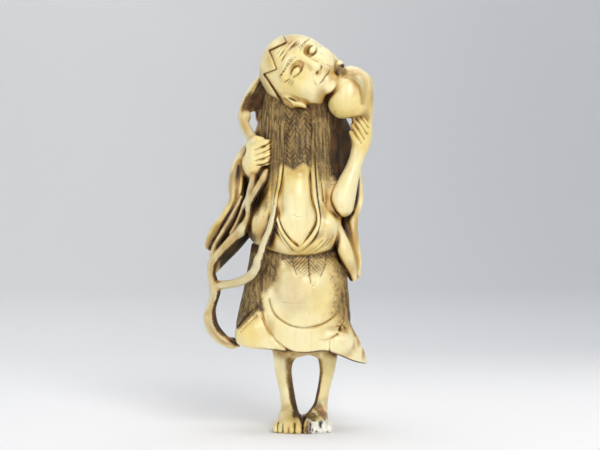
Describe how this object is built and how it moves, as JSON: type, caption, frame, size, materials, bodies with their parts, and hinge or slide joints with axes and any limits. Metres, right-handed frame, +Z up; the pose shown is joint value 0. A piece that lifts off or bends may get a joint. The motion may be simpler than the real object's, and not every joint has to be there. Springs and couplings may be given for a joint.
{
  "type": "netsuke",
  "caption": "Carved ivory toggle: a standing bearded mountain sage in an open robe and leaf skirt leans its head on a peach and carries a gnarled branch.",
  "frame": {"origin": "bottom centre of the figure's bounding box, on the plane of its soles", "axes": "+Z up from the soles to the head; the figure faces -Y; +X towards the figure's left hand, which is the viewer's right"},
  "size_m": [0.0424, 0.0234, 0.0989],
  "materials": {
    "ivory": null
  },
  "bodies": {
    "root": {"netsuke": "ivory"}
  },
  "joints": []
}
